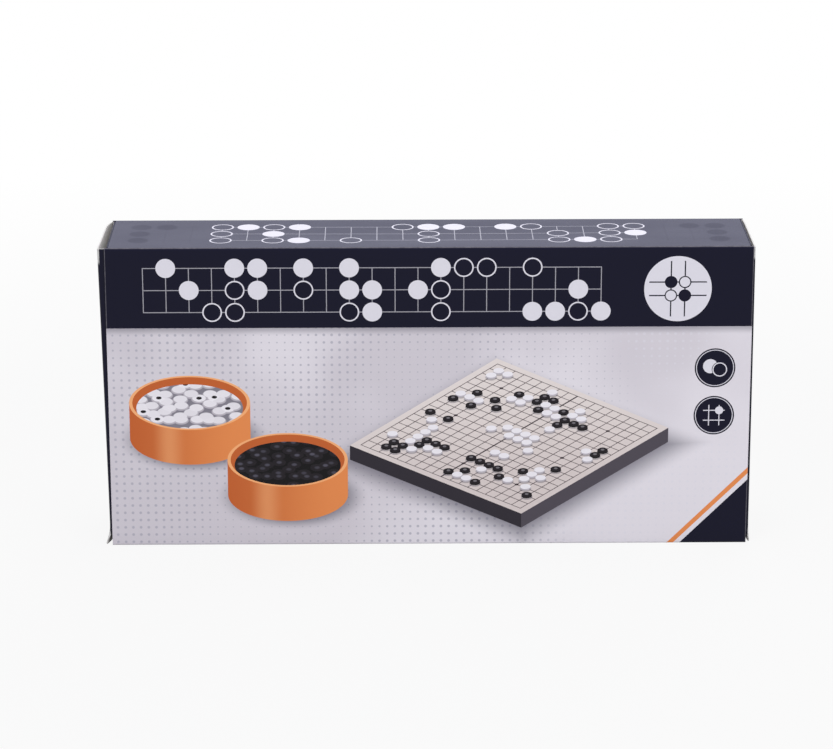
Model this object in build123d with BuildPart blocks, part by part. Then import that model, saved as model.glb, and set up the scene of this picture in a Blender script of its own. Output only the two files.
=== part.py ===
from build123d import *
import os
from math import cos, radians, sin, sqrt, tan

# Travel go set, boxed: a tuck-end carton round a folding magnetic board.
# The board's two halves are trays that close into a case for two bowls of stones.
# Origin: middle of the carton's base. +X along the carton, +Z up, the front panel faces -Y.

# Folding board, lengths in millimetres and angles in degrees
BOARD_LENGTH = 280.0
TRAY_WIDTH = 140.0
TRAY_HEIGHT = 20.0
TRAY_WALL = 2.4
TRAY_DECK = 2.6
TRAY_CORNER_RADIUS = 4.0
TRAY_DRAFT = 1.5
PARTING_GAP = 0.15
SPINE_GAP = 0.1

# Playing plates let into the decks
PLATE_THICKNESS = 0.6
PLATE_RIM = 1.6
PLATE_CLEARANCE = 0.15
PLATE_CORNER_RADIUS = 2.0

# Finger arches in the short ends of the halves, and the rebated rims that close on each other
ARCH_WIDTH = 85.0
ARCH_HEIGHT = 6.0
ARCH_DEPTH = 8.0
ARCH_RADIUS = 5.0
LIP_HEIGHT = 2.0
LIP_CLEARANCE = 0.2
LIP_REVEAL = 0.15
LIP_SETBACK = 4.0

# Pinned hinge along the fold
HINGE_PITCH = 190.0
HINGE_COUNT = 2
KNUCKLE_RADIUS = 1.8
KNUCKLE_CLEARANCE = 0.3
KNUCKLE_LENGTH = 10.0
PIN_RADIUS = 0.8
PIN_CLEARANCE = 0.05

# Stiffening ribs inside the front half, and the seats of the bowls inside the rear half
RIB_THICKNESS = 1.4
RIB_HEIGHT = 2.0
LONG_RIB_COUNT = 1
CROSS_RIB_COUNT = 3
SEAT_CLEARANCE = 0.3
SEAT_DEPTH = 0.6

# Bowls and lids
BOWL_RADIUS = 46.2
BOWL_HEIGHT = 22.0
BOWL_WALL = 1.6
BOWL_FLOOR = 1.8
BOWL_SPREAD = 124.0
LID_THICKNESS = 1.6
LID_WALL = 1.4
LID_SKIRT = 7.0
LID_CHAMFER = 1.0
LID_CLEARANCE = 0.2
LID_SEAT_GAP = 0.1

# Stones, each with a disc magnet let into its flat side
STONE_DIAMETER = 12.5
STONE_EDGE = 1.6
STONE_DOME = 2.2
STONE_DOME_TAPER = 45.0
STONE_GAP = 0.1
STONE_SIDES = 8
STONE_RINGS = 2
MAGNET_DIAMETER = 7.0
MAGNET_THICKNESS = 1.8
MAGNET_CLEARANCE = 0.08
MAGNET_SIDES = 6

# Carton sheet and the play that it leaves the case
SHEET = 0.6
CREASE_RADIUS = 1.0
CREASE_GAP = 0.1
END_PLAY = 7.0
TOP_PLAY = 0.9
STAND_GAP = 0.1
FRONT_PLAY = 7.4
BACK_ROOM = 3.4
GLUE_WIDTH = 16.0
GLUE_INSET = 18.0
GLUE_TAPER = 4.0

# End panels, bowed outwards, with a tuck tab
END_EDGE_GAP = 0.4
END_BOW = 3.4
END_BOW_PEAK = 17.0
END_NOTCH_HEIGHT = 6.0
END_NOTCH_DEPTH = 3.0
TUCK_GAP = 0.6
TUCK_LENGTH = 14.0
TUCK_LEAN = 7.0
TUCK_INSET = 1.5
TUCK_CORNER_RADIUS = 8.0

# Dust flaps under the end panels
FLAP_GAP = 0.3
FLAP_LENGTH = 45.0
FLAP_FRONT_INSET = 2.0
FLAP_FRONT_TAPER = 30.0
FLAP_BACK_INSET = 2.6
FLAP_BACK_TAPER = 6.0
FLAP_CORNER = 6.0

# Folded instruction leaflet
LEAFLET_LENGTH = 200.0
LEAFLET_HEIGHT = 135.0
LEAFLET_PAPER = 0.3
LEAFLET_PITCH = 0.5
LEAFLET_LAYERS = 4
LEAFLET_GAP = 0.5

# How far a cut runs past the face that it opens
OVERRUN = 1.0

# Outside of the carton, and the places that follow from it
CARTON_LENGTH = BOARD_LENGTH + 2 * (END_PLAY + SHEET + FLAP_GAP + SHEET)
CARTON_HEIGHT = STAND_GAP + TRAY_WIDTH + KNUCKLE_RADIUS + TOP_PLAY + 2 * SHEET
CARTON_DEPTH = FRONT_PLAY + 2 * TRAY_HEIGHT + BACK_ROOM + 2 * SHEET
FRONT_Y = -CARTON_DEPTH / 2
BACK_Y = CARTON_DEPTH / 2
CASE_Y = BACK_Y - SHEET - BACK_ROOM - TRAY_HEIGHT
FOLD_Z = SHEET + STAND_GAP + TRAY_WIDTH
BOWL_Y = CASE_Y + TRAY_HEIGHT - TRAY_DECK + SEAT_DEPTH
BOWL_Z = FOLD_Z - TRAY_WIDTH / 2
END_X = CARTON_LENGTH / 2 - SHEET / 2
FLAP_X = END_X - SHEET - FLAP_GAP

os.makedirs("parts", exist_ok=True)


# Carton

def sleeve_piece(reach, back_y, y_span, z_span):
    """Piece of the folded sleeve between two depths and two heights; the sleeve's back is at back_y."""
    with BuildPart() as piece:
        with BuildSketch(Plane.YZ):
            with Locations(((back_y + FRONT_Y) / 2, CARTON_HEIGHT / 2)):
                RectangleRounded(back_y - FRONT_Y, CARTON_HEIGHT, CREASE_RADIUS)
                RectangleRounded(
                    back_y - FRONT_Y - 2 * SHEET,
                    CARTON_HEIGHT - 2 * SHEET,
                    CREASE_RADIUS - SHEET,
                    mode=Mode.SUBTRACT,
                )
            with Locations((y_span[0], z_span[0])):
                Rectangle(
                    y_span[1] - y_span[0],
                    z_span[1] - z_span[0],
                    align=(Align.MIN, Align.MIN),
                    mode=Mode.INTERSECT,
                )
        extrude(amount=reach, both=True)
    return piece


def mirrored(piece, plane):
    """Mirror image of a finished piece."""
    with BuildPart() as image:
        mirror(piece.part, about=plane)
    return image


FRONT_REACH = END_X - SHEET / 2 - CREASE_GAP
BACK_REACH = CARTON_LENGTH / 2
SLEEVE_REACH = FLAP_X - SHEET / 2 - CREASE_GAP
FRONT_BEND_Y = FRONT_Y + CREASE_RADIUS
BACK_BEND_Y = BACK_Y - CREASE_RADIUS
GLUE_Y = BACK_Y - SHEET
GLUE_BEND_Y = GLUE_Y - CREASE_RADIUS

# The front panel ends in the rounded creases of the top and the bottom.
front_panel = sleeve_piece(FRONT_REACH, BACK_Y, (FRONT_Y, FRONT_BEND_Y), (0, CARTON_HEIGHT))
top_panel = sleeve_piece(SLEEVE_REACH, BACK_Y, (FRONT_BEND_Y, BACK_BEND_Y), (CREASE_RADIUS, CARTON_HEIGHT))
bottom_panel = sleeve_piece(SLEEVE_REACH, GLUE_Y, (FRONT_BEND_Y, GLUE_BEND_Y), (0, CREASE_RADIUS))

with BuildPart() as back_panel:
    add(sleeve_piece(BACK_REACH, BACK_Y, (BACK_BEND_Y, BACK_Y), (CREASE_RADIUS, CARTON_HEIGHT)).part)
    with BuildSketch(Plane.YZ):
        with Locations((BACK_Y, 0)):
            Rectangle(SHEET, CREASE_RADIUS, align=(Align.MAX, Align.MIN))
    extrude(amount=BACK_REACH, both=True)

# The bottom turns up into the glue flap, so its back crease lies one sheet further in.
with BuildPart() as glue_flap:
    add(sleeve_piece(SLEEVE_REACH, GLUE_Y, (GLUE_BEND_Y, GLUE_Y), (0, CREASE_RADIUS)).part)
    with BuildSketch(Plane.XZ.offset(-GLUE_Y)):
        glue_reach = CARTON_LENGTH / 2 - GLUE_INSET
        with BuildLine():
            Polyline(
                (-glue_reach, CREASE_RADIUS),
                (glue_reach, CREASE_RADIUS),
                (glue_reach - GLUE_TAPER, GLUE_WIDTH),
                (-glue_reach + GLUE_TAPER, GLUE_WIDTH),
                close=True,
            )
        make_face()
    extrude(amount=SHEET)

# Each end panel swings on the front panel's end crease and tucks in at the back.
hinge_point = (-END_X, FRONT_Y + SHEET / 2)
tuck_point = (-END_X, BACK_Y - SHEET - TUCK_GAP - SHEET / 2)
bow_point = (-END_X - END_BOW, hinge_point[1] + END_BOW_PEAK)
END_HEIGHT = CARTON_HEIGHT - 2 * END_EDGE_GAP
tuck_plane = Plane(
    origin=(*tuck_point, CARTON_HEIGHT / 2),
    x_dir=(cos(radians(TUCK_LEAN)), -sin(radians(TUCK_LEAN)), 0),
    z_dir=(-sin(radians(TUCK_LEAN)), -cos(radians(TUCK_LEAN)), 0),
)

with BuildPart() as left_end_panel:
    with BuildSketch(Plane.XY.offset(END_EDGE_GAP)):
        with BuildLine(mode=Mode.PRIVATE) as bow:
            TangentArc(bow_point, hinge_point, tangent=(0, -1))
            TangentArc(bow_point, tuck_point, tangent=(0, 1))
        SlotArc(bow.wire(), SHEET)
    extrude(amount=END_HEIGHT)
    with BuildSketch(tuck_plane):
        Rectangle(TUCK_LENGTH, END_HEIGHT - 2 * TUCK_INSET, align=(Align.MIN, Align.CENTER))
        tip_corners = vertices().group_by(Axis.X)[-1]
        fillet(tip_corners, TUCK_CORNER_RADIUS)
    extrude(amount=SHEET / 2, both=True)
    for end_z, inwards in ((END_EDGE_GAP, 1), (CARTON_HEIGHT - END_EDGE_GAP, -1)):
        with BuildSketch(Plane.YZ.offset(-END_X - END_BOW - OVERRUN)):
            with BuildLine():
                Polyline(
                    (FRONT_Y - OVERRUN, end_z - inwards * OVERRUN),
                    (FRONT_Y + SHEET + END_NOTCH_DEPTH, end_z - inwards * OVERRUN),
                    (FRONT_Y + SHEET + END_NOTCH_DEPTH, end_z),
                    (FRONT_Y + SHEET, end_z + inwards * END_NOTCH_HEIGHT),
                    (FRONT_Y - OVERRUN, end_z + inwards * END_NOTCH_HEIGHT),
                    close=True,
                )
            make_face()
        extrude(amount=END_BOW + SHEET + 2 * OVERRUN, mode=Mode.SUBTRACT)

right_end_panel = mirrored(left_end_panel, Plane.YZ)

# Each dust flap swings on the top or bottom panel's end crease, inside its end panel.
flap_front = FRONT_Y + SHEET + FLAP_FRONT_INSET
flap_back = BACK_Y - SHEET - FLAP_BACK_INSET
flap_plane = Plane(
    origin=(-FLAP_X, 0, CARTON_HEIGHT - SHEET / 2), x_dir=(0, 1, 0), z_dir=(-1, 0, 0)
)

with BuildPart() as left_upper_dust_flap:
    with BuildSketch(flap_plane):
        with BuildLine():
            Polyline(
                (flap_front, 0),
                (flap_back, 0),
                (flap_back - FLAP_LENGTH * tan(radians(FLAP_BACK_TAPER)), FLAP_LENGTH),
                (flap_front + FLAP_LENGTH * tan(radians(FLAP_FRONT_TAPER)), FLAP_LENGTH),
                close=True,
            )
        make_face()
        free_corners = vertices().group_by(Axis.Y)[-1]
        chamfer(free_corners, FLAP_CORNER)
    extrude(amount=SHEET / 2, both=True)
    with BuildSketch(Plane.XZ.offset(-flap_front)):
        with Locations((-FLAP_X, CARTON_HEIGHT - SHEET / 2)):
            Circle(SHEET / 2)
    extrude(amount=-(flap_back - flap_front))

left_lower_dust_flap = mirrored(left_upper_dust_flap, Plane.XY.offset(CARTON_HEIGHT / 2))
right_upper_dust_flap = mirrored(left_upper_dust_flap, Plane.YZ)
right_lower_dust_flap = mirrored(left_lower_dust_flap, Plane.YZ)

# The leaflet is one sheet folded to and fro, standing behind the case on the bottom panel.
leaflet_low = SHEET + LEAFLET_PAPER / 2
leaflet_high = leaflet_low + LEAFLET_HEIGHT - LEAFLET_PAPER
leaflet_front = BACK_Y - SHEET - BACK_ROOM + LEAFLET_GAP + LEAFLET_PAPER / 2

with BuildPart() as instruction_leaflet:
    with BuildSketch(Plane.YZ):
        with BuildLine():
            turns = []
            for layer in range(LEAFLET_LAYERS):
                y = leaflet_front + layer * LEAFLET_PITCH
                ends = [(y, leaflet_low), (y, leaflet_high)]
                turns += ends if layer % 2 == 0 else reversed(ends)
            Polyline(*turns)
            offset(amount=LEAFLET_PAPER / 2, kind=Kind.INTERSECTION)
        make_face()
    extrude(amount=LEAFLET_LENGTH / 2, both=True)


# Folding board

HINGE_PLANE = Plane(origin=(0, CASE_Y, FOLD_Z), x_dir=(0, 1, 0), z_dir=(1, 0, 0))
KNUCKLE_OFFSET = (KNUCKLE_LENGTH + KNUCKLE_CLEARANCE) / 2
HINGE_LENGTH = 2 * KNUCKLE_LENGTH + KNUCKLE_CLEARANCE
CAVITY_LENGTH = BOARD_LENGTH - 2 * TRAY_WALL
CAVITY_WIDTH = TRAY_WIDTH - SPINE_GAP - 2 * TRAY_WALL
INNER_LIP_INSET = (TRAY_WALL + LIP_CLEARANCE) / 2
OUTER_LIP_INSET = (TRAY_WALL - LIP_CLEARANCE) / 2
BOWL_PLACES = (-BOWL_SPREAD / 2, BOWL_SPREAD / 2)


def tray_plane(side):
    """Parting plane of one half, at the fold: x along it, y away from it and z outwards."""
    return Plane(origin=(0, CASE_Y, FOLD_Z), x_dir=(side, 0, 0), z_dir=(0, side, 0))


def hinge_cylinders(shift, radius, length):
    """Cylinders on the fold axis, one for each hinge, shifted along it from the hinge's middle."""
    with BuildPart() as cylinders:
        for hinge in range(HINGE_COUNT):
            middle = (hinge - (HINGE_COUNT - 1) / 2) * HINGE_PITCH
            with BuildSketch(HINGE_PLANE.offset(middle + shift)):
                Circle(radius)
            extrude(amount=length / 2, both=True)
    return cylinders.part


def rim_band(plane, outer_inset, inner_inset):
    """Band of the rim between two insets, round the end of a half that is away from the fold."""
    with BuildSketch(plane) as band:
        RectangleRounded(
            BOARD_LENGTH - 2 * outer_inset,
            2 * (TRAY_WIDTH - outer_inset),
            TRAY_CORNER_RADIUS - outer_inset,
        )
        RectangleRounded(
            BOARD_LENGTH - 2 * inner_inset,
            2 * (TRAY_WIDTH - inner_inset),
            TRAY_CORNER_RADIUS - inner_inset,
            mode=Mode.SUBTRACT,
        )
        with Locations((0, ARCH_WIDTH + LIP_SETBACK)):
            Rectangle(
                BOARD_LENGTH + 2 * OVERRUN,
                TRAY_WIDTH,
                align=(Align.CENTER, Align.MIN),
                mode=Mode.INTERSECT,
            )
    return band.sketch


def tray_shell(side):
    """Hollow half of the board with its plate recess, finger arches and hinge knuckles."""
    plane = tray_plane(side)
    arch_plane = Plane(origin=plane.origin, x_dir=plane.y_dir, z_dir=plane.x_dir)
    parting = plane.offset(PARTING_GAP)
    with BuildPart() as tray:
        with BuildSketch(parting):
            with Locations((0, SPINE_GAP)):
                Rectangle(BOARD_LENGTH, TRAY_WIDTH - SPINE_GAP, align=(Align.CENTER, Align.MIN))
        extrude(amount=TRAY_HEIGHT - PARTING_GAP)
        outer_walls = faces().filter_by(Axis.X) + faces().sort_by(Axis.Z)[:1]
        draft(outer_walls, parting, TRAY_DRAFT)
        far_corners = edges().filter_by(Axis.X, reverse=True).sort_by(Axis.Z)[:2]
        fillet(far_corners, TRAY_CORNER_RADIUS)
        with BuildSketch(plane):
            with Locations((0, SPINE_GAP + TRAY_WALL)):
                Rectangle(CAVITY_LENGTH, CAVITY_WIDTH, align=(Align.CENTER, Align.MIN))
            fillet(vertices(), TRAY_CORNER_RADIUS - TRAY_WALL)
        extrude(amount=TRAY_HEIGHT - TRAY_DECK, mode=Mode.SUBTRACT)
        with BuildSketch(plane.offset(TRAY_HEIGHT)):
            RectangleRounded(
                BOARD_LENGTH - 2 * PLATE_RIM, 2 * (TRAY_WIDTH - PLATE_RIM), PLATE_CORNER_RADIUS
            )
        extrude(amount=-PLATE_THICKNESS, mode=Mode.SUBTRACT)
        for end in (-1, 1):
            with BuildSketch(arch_plane.offset(end * (BOARD_LENGTH / 2 - ARCH_DEPTH))):
                with BuildLine():
                    Polyline(
                        (-OVERRUN, -OVERRUN),
                        (ARCH_WIDTH, -OVERRUN),
                        (ARCH_WIDTH, 0),
                        (ARCH_WIDTH - ARCH_HEIGHT, ARCH_HEIGHT),
                        (-OVERRUN, ARCH_HEIGHT),
                        close=True,
                    )
                make_face()
                arch_corner = vertices().group_by(Axis.Y)[-1].sort_by(Axis.X)[-1]
                fillet(arch_corner, ARCH_RADIUS)
            extrude(amount=end * (ARCH_DEPTH + OVERRUN), mode=Mode.SUBTRACT)
        notch_radius = KNUCKLE_RADIUS + KNUCKLE_CLEARANCE
        notch_length = KNUCKLE_LENGTH + 2 * KNUCKLE_CLEARANCE
        bore_radius = PIN_RADIUS + PIN_CLEARANCE
        add(hinge_cylinders(-side * KNUCKLE_OFFSET, notch_radius, notch_length), mode=Mode.SUBTRACT)
        add(hinge_cylinders(side * KNUCKLE_OFFSET, KNUCKLE_RADIUS, KNUCKLE_LENGTH))
        add(hinge_cylinders(0, bore_radius, HINGE_LENGTH + 2 * KNUCKLE_CLEARANCE), mode=Mode.SUBTRACT)
    return tray


def playing_plate(side):
    """Steel plate let into the deck of one half, flush with its rim."""
    with BuildPart() as plate:
        with BuildSketch(tray_plane(side).offset(TRAY_HEIGHT - PLATE_THICKNESS)):
            with Locations((0, SPINE_GAP)):
                Rectangle(
                    BOARD_LENGTH - 2 * (PLATE_RIM + PLATE_CLEARANCE),
                    TRAY_WIDTH - SPINE_GAP - PLATE_RIM - PLATE_CLEARANCE,
                    align=(Align.CENTER, Align.MIN),
                )
            far_corners = vertices().group_by(Axis.Y)[-1]
            fillet(far_corners, PLATE_CORNER_RADIUS)
        extrude(amount=PLATE_THICKNESS)
    return plate


# The rear half carries the inner lip of the rim and the recessed seats of the bowls.
with BuildPart() as rear_tray:
    rear = tray_plane(1)
    add(tray_shell(1).part)
    extrude(
        rim_band(rear.offset(-OVERRUN), -OVERRUN, INNER_LIP_INSET),
        amount=OVERRUN + LIP_HEIGHT + LIP_CLEARANCE,
        mode=Mode.SUBTRACT,
    )
    extrude(rim_band(rear.offset(LIP_HEIGHT), INNER_LIP_INSET, TRAY_WALL), amount=-2 * LIP_HEIGHT)
    with BuildSketch(rear.offset(TRAY_HEIGHT - TRAY_DECK)):
        with Locations(*[(x, TRAY_WIDTH / 2) for x in BOWL_PLACES]):
            Circle(BOWL_RADIUS + SEAT_CLEARANCE)
    extrude(amount=SEAT_DEPTH, mode=Mode.SUBTRACT)

# The front half carries the outer lip of the rim and stiffening ribs.
with BuildPart() as front_tray:
    front = tray_plane(-1)
    add(tray_shell(-1).part)
    extrude(
        rim_band(front, OUTER_LIP_INSET, TRAY_WALL),
        amount=LIP_HEIGHT + LIP_CLEARANCE,
        mode=Mode.SUBTRACT,
    )
    extrude(
        rim_band(front.offset(PARTING_GAP), LIP_REVEAL, OUTER_LIP_INSET),
        amount=-PARTING_GAP - LIP_HEIGHT,
    )
    with BuildSketch(front.offset(TRAY_HEIGHT - TRAY_DECK)):
        with Locations((0, SPINE_GAP + TRAY_WALL + CAVITY_WIDTH / 2)):
            with GridLocations(0, CAVITY_WIDTH / (LONG_RIB_COUNT + 1), 1, LONG_RIB_COUNT):
                Rectangle(CAVITY_LENGTH, RIB_THICKNESS)
            with GridLocations(CAVITY_LENGTH / (CROSS_RIB_COUNT + 1), 0, CROSS_RIB_COUNT, 1):
                Rectangle(RIB_THICKNESS, CAVITY_WIDTH)
    extrude(amount=-RIB_HEIGHT)

rear_playing_plate = playing_plate(1)
front_playing_plate = playing_plate(-1)

with BuildPart() as hinge_pins:
    add(hinge_cylinders(0, PIN_RADIUS, HINGE_LENGTH))


# Bowls, lids and stones

def bowl_plane(x):
    """Half section of a bowl: x is the radius and y the height over the rear deck."""
    return Plane(origin=(x, BOWL_Y, BOWL_Z), x_dir=(1, 0, 0), z_dir=(0, 0, -1))


def bowl(x):
    """Round bowl with a flat floor, standing on the rear deck."""
    plane = bowl_plane(x)
    with BuildPart() as turned:
        with BuildSketch(plane):
            with BuildLine():
                Polyline(
                    (0, 0),
                    (BOWL_RADIUS, 0),
                    (BOWL_RADIUS, BOWL_HEIGHT),
                    (BOWL_RADIUS - BOWL_WALL, BOWL_HEIGHT),
                    (BOWL_RADIUS - BOWL_WALL, BOWL_FLOOR),
                    (0, BOWL_FLOOR),
                    close=True,
                )
            make_face()
        revolve(axis=Axis(plane.origin, plane.y_dir))
    return turned


def bowl_lid(x):
    """Lid that lies on the bowl's rim, with a skirt round its wall."""
    plane = bowl_plane(x)
    inside = BOWL_RADIUS + LID_CLEARANCE
    outside = inside + LID_WALL
    ceiling = BOWL_HEIGHT + LID_SEAT_GAP
    with BuildPart() as turned:
        with BuildSketch(plane):
            with BuildLine():
                Polyline(
                    (0, ceiling),
                    (inside, ceiling),
                    (inside, ceiling - LID_SKIRT),
                    (outside, ceiling - LID_SKIRT),
                    (outside, ceiling + LID_THICKNESS - LID_CHAMFER),
                    (outside - LID_CHAMFER, ceiling + LID_THICKNESS),
                    (0, ceiling + LID_THICKNESS),
                    close=True,
                )
            make_face()
        revolve(axis=Axis(plane.origin, plane.y_dir))
    return turned


def stone_places():
    """Middles of a layer of stones: one in the middle and rings of them nested round it."""
    pitch = STONE_DIAMETER + STONE_GAP
    row_step = pitch * sqrt(3) / 2
    return [
        ((column - abs(row) / 2) * pitch, row * row_step)
        for row in range(-STONE_RINGS, STONE_RINGS + 1)
        for column in range(abs(row) - STONE_RINGS, STONE_RINGS + 1)
    ]


def bowl_layer(x, piece):
    """One layer of like pieces on the floor of a bowl, with their flat sides down."""
    floor = Plane(origin=(x, BOWL_Y - BOWL_FLOOR, BOWL_Z), x_dir=(1, 0, 0), z_dir=(0, -1, 0))
    with BuildPart(floor) as layer:
        with Locations(*stone_places()):
            add(piece.part)
    return layer


with BuildPart() as stone:
    with BuildSketch():
        RegularPolygon(STONE_DIAMETER / 2, STONE_SIDES)
    extrude(amount=STONE_EDGE)
    with BuildSketch(Plane.XY.offset(STONE_EDGE)):
        RegularPolygon(STONE_DIAMETER / 2, STONE_SIDES)
    extrude(amount=STONE_DOME, taper=STONE_DOME_TAPER)
    with BuildSketch():
        RegularPolygon(MAGNET_DIAMETER / 2 + MAGNET_CLEARANCE, MAGNET_SIDES)
    extrude(amount=MAGNET_THICKNESS + MAGNET_CLEARANCE, mode=Mode.SUBTRACT)

with BuildPart() as stone_magnet:
    with BuildSketch():
        RegularPolygon(MAGNET_DIAMETER / 2, MAGNET_SIDES)
    extrude(amount=MAGNET_THICKNESS)

white_x, black_x = BOWL_PLACES

# Every piece by name, each written to its own file
PIECES = {
    "front_panel": front_panel,
    "back_panel": back_panel,
    "top_panel": top_panel,
    "bottom_panel": bottom_panel,
    "glue_flap": glue_flap,
    "left_end_panel": left_end_panel,
    "right_end_panel": right_end_panel,
    "left_upper_dust_flap": left_upper_dust_flap,
    "left_lower_dust_flap": left_lower_dust_flap,
    "right_upper_dust_flap": right_upper_dust_flap,
    "right_lower_dust_flap": right_lower_dust_flap,
    "instruction_leaflet": instruction_leaflet,
    "rear_tray": rear_tray,
    "front_tray": front_tray,
    "rear_playing_plate": rear_playing_plate,
    "front_playing_plate": front_playing_plate,
    "hinge_pins": hinge_pins,
    "white_bowl": bowl(white_x),
    "black_bowl": bowl(black_x),
    "white_bowl_lid": bowl_lid(white_x),
    "black_bowl_lid": bowl_lid(black_x),
    "white_stones": bowl_layer(white_x, stone),
    "black_stones": bowl_layer(black_x, stone),
    "white_stone_magnets": bowl_layer(white_x, stone_magnet),
    "black_stone_magnets": bowl_layer(black_x, stone_magnet),
}

for name, piece in PIECES.items():
    piece.part.label = name
    export_step(piece.part, f"parts/{name}.step")
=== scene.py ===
"""Looks of a boxed travel go set: a printed tuck-end carton with a folding board packed inside."""
from math import cos, pi, radians, sin, sqrt

import bpy
from mathutils import Matrix, Vector


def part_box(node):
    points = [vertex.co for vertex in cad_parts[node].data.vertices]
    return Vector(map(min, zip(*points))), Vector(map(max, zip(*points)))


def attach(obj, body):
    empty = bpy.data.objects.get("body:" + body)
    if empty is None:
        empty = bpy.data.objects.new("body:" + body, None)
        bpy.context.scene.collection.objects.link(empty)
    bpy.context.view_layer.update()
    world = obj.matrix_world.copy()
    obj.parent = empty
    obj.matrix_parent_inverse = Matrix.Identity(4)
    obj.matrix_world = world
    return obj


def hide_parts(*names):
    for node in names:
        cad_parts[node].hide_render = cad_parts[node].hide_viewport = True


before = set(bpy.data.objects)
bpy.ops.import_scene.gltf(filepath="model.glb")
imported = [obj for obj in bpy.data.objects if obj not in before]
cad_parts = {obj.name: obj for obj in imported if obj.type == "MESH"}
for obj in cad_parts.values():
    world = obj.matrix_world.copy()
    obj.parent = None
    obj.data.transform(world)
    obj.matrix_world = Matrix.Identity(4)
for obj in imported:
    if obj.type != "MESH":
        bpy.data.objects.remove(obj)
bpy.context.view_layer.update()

# Lengths are in millimetres until they become places in the frame, which is in metres
MM = 0.001
PER_METRE = 1000.0

# Photograph's frame in pixels, and the camera that the carton's corners and edges give
PHOTO_WIDTH = 833
SENSOR_WIDTH = 36.0
FOCAL_PIXELS = 3276.1
CAMERA_PLACE = (-19.7, -1472.2, 528.9)
CAMERA_YAW = 0.544
CAMERA_PITCH = 17.123
CAMERA_ROLL = -0.063


def corner_mm(node, high):
    """Lowest or highest corner of a node's box, in millimetres."""
    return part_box(node)[1 if high else 0] * PER_METRE


# Board of the carton
SHEET = 0.6
CREASE_RADIUS = 1.0
HINGE_GAP = 0.05

# Sizes of the carton, read from the frame
FRONT_Y = corner_mm("front_panel", False).y
HEIGHT = corner_mm("front_panel", True).z
BACK_Y = corner_mm("back_panel", True).y
BACK_REACH = corner_mm("back_panel", True).x
FRONT_REACH = BACK_REACH
HINGE_REACH = BACK_REACH + HINGE_GAP
TOP_REACH = corner_mm("top_panel", True).x
GLUE_Y = corner_mm("glue_flap", True).y

# Colours as they show in even light
NAVY = (7, 7, 32)
SILVER_DARK = (207, 202, 210)
SILVER_LIGHT = (226, 222, 229)
DOT_GREY = (166, 165, 179)
PRINT_WHITE = (220, 218, 227)
BOARD_BEIGE = (214, 203, 201)
BOARD_PALE = (226, 217, 214)
LINE_BROWN = (66, 56, 60)
BOARD_SIDE = (46, 42, 50)
BOARD_SIDE_LIT = (78, 73, 82)
STONE_WHITE = (237, 234, 240)
STONE_WHITE_EDGE = (186, 181, 190)
STONE_BLACK = (33, 29, 34)
STONE_BLACK_EDGE = (14, 12, 15)
ORANGE = (228, 139, 80)
ORANGE_DARK = (192, 97, 48)
ORANGE_LIGHT = (243, 175, 120)
SHADOW = (92, 90, 104)
BARE_GREY = (205, 202, 199)
BARE_LIGHT = (226, 224, 221)
FIBRE_BROWN = (120, 112, 100)
COATED_WHITE = (224, 223, 221)
COATED_DULL = (214, 213, 211)

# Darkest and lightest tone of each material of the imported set
TRAY_TONES = ((29, 27, 31), (40, 38, 42))
PAPER_TONES = ((226, 225, 219), (238, 237, 233))
WHITE_STONE_TONES = ((226, 224, 222), (238, 236, 234))
BLACK_STONE_TONES = ((22, 21, 23), (34, 32, 35))
BOWL_TONES = ((196, 100, 44), (214, 118, 58))
LID_TONES = ((206, 122, 78), (218, 138, 94))
STEEL_TONES = ((150, 150, 152), (196, 196, 198))
FERRITE_TONES = ((50, 49, 50), (84, 83, 84))


def linear(colour):
    """Linear colour with alpha from a colour as it shows, of 0 to 255."""
    def channel(value):
        share = value / 255
        return share / 12.92 if share <= 0.04045 else ((share + 0.055) / 1.055) ** 2.4
    return (*(channel(value) for value in colour), 1.0)


class Field:
    """Number that varies over a surface. Sums and products of fields add nodes to their paint."""

    def __init__(self, paint, socket):
        self.paint = paint
        self.socket = socket

    def __add__(self, other):
        return self.paint.math("ADD", self, other)

    def __radd__(self, other):
        return self.paint.math("ADD", other, self)

    def __sub__(self, other):
        return self.paint.math("SUBTRACT", self, other)

    def __rsub__(self, other):
        return self.paint.math("SUBTRACT", other, self)

    def __mul__(self, other):
        return self.paint.math("MULTIPLY", self, other)

    def __rmul__(self, other):
        return self.paint.math("MULTIPLY", other, self)

    def __truediv__(self, other):
        return self.paint.math("DIVIDE", self, other)

    def __abs__(self):
        return self.paint.math("ABSOLUTE", self)


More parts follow.
